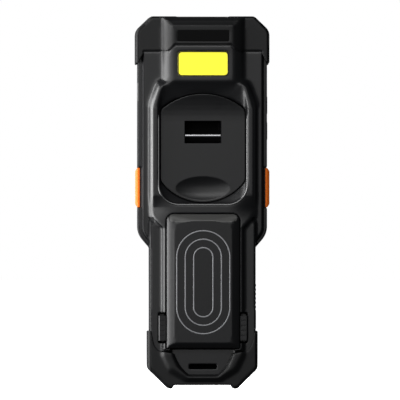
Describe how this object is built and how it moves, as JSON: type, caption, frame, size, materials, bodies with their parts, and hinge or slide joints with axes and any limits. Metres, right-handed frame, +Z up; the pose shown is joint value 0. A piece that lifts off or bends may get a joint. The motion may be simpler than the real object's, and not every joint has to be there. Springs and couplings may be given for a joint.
{
  "type": "barcode data terminal",
  "caption": "Rugged hand-held scanning terminal with a wide head and display, a narrow keypad grip, rubber end bumpers, side triggers, a latched rear battery and a sunken strap plate",
  "frame": {"origin": "on the floor under the middle of the standing terminal, centre of its bounding box in X and Y, with the two feet of the lower bumper on Z = 0", "axes": "+Z runs up along the terminal to its scanning end, -Y is the back with the battery and strap plate, +Y is the display and keypad side, +X is to the right seen from the back"},
  "size_m": [0.0804, 0.038, 0.2226],
  "materials": {
    "body_plastic": "fine-textured moulded plastic",
    "front_plastic": "fine-textured moulded plastic",
    "seal_rubber": "plain",
    "bumper_rubber": "matt overmoulded rubber",
    "badge_gloss": "polished black",
    "label_film": "printed film, bare",
    "plate_plastic": "satin",
    "bar_steel": "turned",
    "battery_plastic": "satin moulded plastic",
    "inner_plastic": "plain",
    "cell_film": "shrink film",
    "contact_gold": "gold plated",
    "latch_plastic": "ribbed",
    "trigger_orange": "satin",
    "side_key_rubber": "matt",
    "port_rubber": "matt",
    "key_plastic": "satin",
    "membrane_rubber": "silicone",
    "board_green": "solder mask",
    "shield_steel": "tinned",
    "panel_metal": "plain",
    "screw_steel": "zinc plated",
    "display_glass": "polished, dark when off",
    "window_glass": "polished, dark"
  },
  "bodies": {
    "housing": {"rear_housing": "body_plastic", "front_housing": "front_plastic", "housing_gasket": "seal_rubber", "top_bumper": "bumper_rubber", "bottom_bumper": "bumper_rubber", "badge_plate": "badge_gloss", "yellow_label": "label_film", "strap_plate": "plate_plastic", "strap_bar": "bar_steel", "display_glass": "display_glass", "display_module": "panel_metal", "keypad_membrane": "membrane_rubber", "keypad_board": "board_green", "main_board": "board_green", "board_shields": "shield_steel", "scan_engine": "inner_plastic", "scan_window": "window_glass", "speaker": "inner_plastic", "vibration_motor": "shield_steel", "side_switches": "inner_plastic", "usb_socket": "shield_steel", "battery_terminals": "contact_gold", "dock_block": "inner_plastic", "dock_pins": "contact_gold", "housing_screws": "screw_steel"},
    "battery": {"battery_cover": "battery_plastic", "battery_base": "inner_plastic", "battery_cells": "cell_film", "battery_contacts": "contact_gold"},
    "latch_left": {"battery_latch_left": "latch_plastic"},
    "latch_right": {"battery_latch_right": "latch_plastic"},
    "trigger_left_body": {"trigger_left": "trigger_orange"},
    "trigger_right_body": {"trigger_right": "trigger_orange"},
    "volume_up_body": {"volume_up": "side_key_rubber"},
    "volume_down_body": {"volume_down": "side_key_rubber"},
    "power_key_body": {"power_key": "side_key_rubber"},
    "port_cover_body": {"port_cover": "port_rubber"},
    "key_star_body": {"key_star": "key_plastic"},
    "key_0_body": {"key_0": "key_plastic"},
    "key_hash_body": {"key_hash": "key_plastic"},
    "key_enter_body": {"key_enter": "key_plastic"},
    "key_7_body": {"key_7": "key_plastic"},
    "key_8_body": {"key_8": "key_plastic"},
    "key_9_body": {"key_9": "key_plastic"},
    "key_down_body": {"key_down": "key_plastic"},
    "key_4_body": {"key_4": "key_plastic"},
    "key_5_body": {"key_5": "key_plastic"},
    "key_6_body": {"key_6": "key_plastic"},
    "key_up_body": {"key_up": "key_plastic"},
    "key_1_body": {"key_1": "key_plastic"},
    "key_2_body": {"key_2": "key_plastic"},
    "key_3_body": {"key_3": "key_plastic"},
    "key_back_body": {"key_back": "key_plastic"},
    "key_f1_body": {"key_f1": "key_plastic"},
    "key_f2_body": {"key_f2": "key_plastic"},
    "key_f3_body": {"key_f3": "key_plastic"},
    "key_f4_body": {"key_f4": "key_plastic"},
    "key_left_body": {"key_left": "key_plastic"},
    "key_scan_body": {"key_scan": "key_plastic"},
    "key_right_body": {"key_right": "key_plastic"}
  },
  "joints": [
    {"name": "battery_slide", "type": "slide", "parent": "housing", "child": "battery", "axis": [0, -1, 0], "range_m": [0, 0.03]},
    {"name": "latch_left_slide", "type": "slide", "parent": "battery", "child": "latch_left", "axis": [1, 0, 0], "range_m": [0, 0.0012], "stiffness_N_per_m": 400},
    {"name": "latch_right_slide", "type": "slide", "parent": "battery", "child": "latch_right", "axis": [-1, 0, 0], "range_m": [0, 0.0012], "stiffness_N_per_m": 400},
    {"name": "trigger_left_slide", "type": "slide", "parent": "housing", "child": "trigger_left_body", "axis": [1, 0, 0], "range_m": [0, 0.0009], "stiffness_N_per_m": 400},
    {"name": "trigger_right_slide", "type": "slide", "parent": "housing", "child": "trigger_right_body", "axis": [-1, 0, 0], "range_m": [0, 0.0009], "stiffness_N_per_m": 400},
    {"name": "volume_up_slide", "type": "slide", "parent": "housing", "child": "volume_up_body", "axis": [-1, 0, 0], "range_m": [0, 0.0006], "stiffness_N_per_m": 400},
    {"name": "volume_down_slide", "type": "slide", "parent": "housing", "child": "volume_down_body", "axis": [-1, 0, 0], "range_m": [0, 0.0006], "stiffness_N_per_m": 400},
    {"name": "power_key_slide", "type": "slide", "parent": "housing", "child": "power_key_body", "axis": [1, 0, 0], "range_m": [0, 0.0004], "stiffness_N_per_m": 400},
    {"name": "port_cover_hinge", "type": "hinge", "parent": "housing", "child": "port_cover_body", "pos_m": [0.03195, 0, 0.0358], "axis": [0, 1, 0], "range_deg": [0, 100]},
    {"name": "key_star_slide", "type": "slide", "parent": "housing", "child": "key_star_body", "axis": [0, -1, 0], "range_m": [0, 0.0008], "stiffness_N_per_m": 400},
    {"name": "key_0_slide", "type": "slide", "parent": "housing", "child": "key_0_body", "axis": [0, -1, 0], "range_m": [0, 0.0008], "stiffness_N_per_m": 400},
    {"name": "key_hash_slide", "type": "slide", "parent": "housing", "child": "key_hash_body", "axis": [0, -1, 0], "range_m": [0, 0.0008], "stiffness_N_per_m": 400},
    {"name": "key_enter_slide", "type": "slide", "parent": "housing", "child": "key_enter_body", "axis": [0, -1, 0], "range_m": [0, 0.0008], "stiffness_N_per_m": 400},
    {"name": "key_7_slide", "type": "slide", "parent": "housing", "child": "key_7_body", "axis": [0, -1, 0], "range_m": [0, 0.0008], "stiffness_N_per_m": 400},
    {"name": "key_8_slide", "type": "slide", "parent": "housing", "child": "key_8_body", "axis": [0, -1, 0], "range_m": [0, 0.0008], "stiffness_N_per_m": 400},
    {"name": "key_9_slide", "type": "slide", "parent": "housing", "child": "key_9_body", "axis": [0, -1, 0], "range_m": [0, 0.0008], "stiffness_N_per_m": 400},
    {"name": "key_down_slide", "type": "slide", "parent": "housing", "child": "key_down_body", "axis": [0, -1, 0], "range_m": [0, 0.0008], "stiffness_N_per_m": 400},
    {"name": "key_4_slide", "type": "slide", "parent": "housing", "child": "key_4_body", "axis": [0, -1, 0], "range_m": [0, 0.0008], "stiffness_N_per_m": 400},
    {"name": "key_5_slide", "type": "slide", "parent": "housing", "child": "key_5_body", "axis": [0, -1, 0], "range_m": [0, 0.0008], "stiffness_N_per_m": 400},
    {"name": "key_6_slide", "type": "slide", "parent": "housing", "child": "key_6_body", "axis": [0, -1, 0], "range_m": [0, 0.0008], "stiffness_N_per_m": 400},
    {"name": "key_up_slide", "type": "slide", "parent": "housing", "child": "key_up_body", "axis": [0, -1, 0], "range_m": [0, 0.0008], "stiffness_N_per_m": 400},
    {"name": "key_1_slide", "type": "slide", "parent": "housing", "child": "key_1_body", "axis": [0, -1, 0], "range_m": [0, 0.0008], "stiffness_N_per_m": 400},
    {"name": "key_2_slide", "type": "slide", "parent": "housing", "child": "key_2_body", "axis": [0, -1, 0], "range_m": [0, 0.0008], "stiffness_N_per_m": 400},
    {"name": "key_3_slide", "type": "slide", "parent": "housing", "child": "key_3_body", "axis": [0, -1, 0], "range_m": [0, 0.0008], "stiffness_N_per_m": 400},
    {"name": "key_back_slide", "type": "slide", "parent": "housing", "child": "key_back_body", "axis": [0, -1, 0], "range_m": [0, 0.0008], "stiffness_N_per_m": 400},
    {"name": "key_f1_slide", "type": "slide", "parent": "housing", "child": "key_f1_body", "axis": [0, -1, 0], "range_m": [0, 0.0008], "stiffness_N_per_m": 400},
    {"name": "key_f2_slide", "type": "slide", "parent": "housing", "child": "key_f2_body", "axis": [0, -1, 0], "range_m": [0, 0.0008], "stiffness_N_per_m": 400},
    {"name": "key_f3_slide", "type": "slide", "parent": "housing", "child": "key_f3_body", "axis": [0, -1, 0], "range_m": [0, 0.0008], "stiffness_N_per_m": 400},
    {"name": "key_f4_slide", "type": "slide", "parent": "housing", "child": "key_f4_body", "axis": [0, -1, 0], "range_m": [0, 0.0008], "stiffness_N_per_m": 400},
    {"name": "key_left_slide", "type": "slide", "parent": "housing", "child": "key_left_body", "axis": [0, -1, 0], "range_m": [0, 0.0008], "stiffness_N_per_m": 400},
    {"name": "key_scan_slide", "type": "slide", "parent": "housing", "child": "key_scan_body", "axis": [0, -1, 0], "range_m": [0, 0.0008], "stiffness_N_per_m": 400},
    {"name": "key_right_slide", "type": "slide", "parent": "housing", "child": "key_right_body", "axis": [0, -1, 0], "range_m": [0, 0.0008], "stiffness_N_per_m": 400}
  ]
}
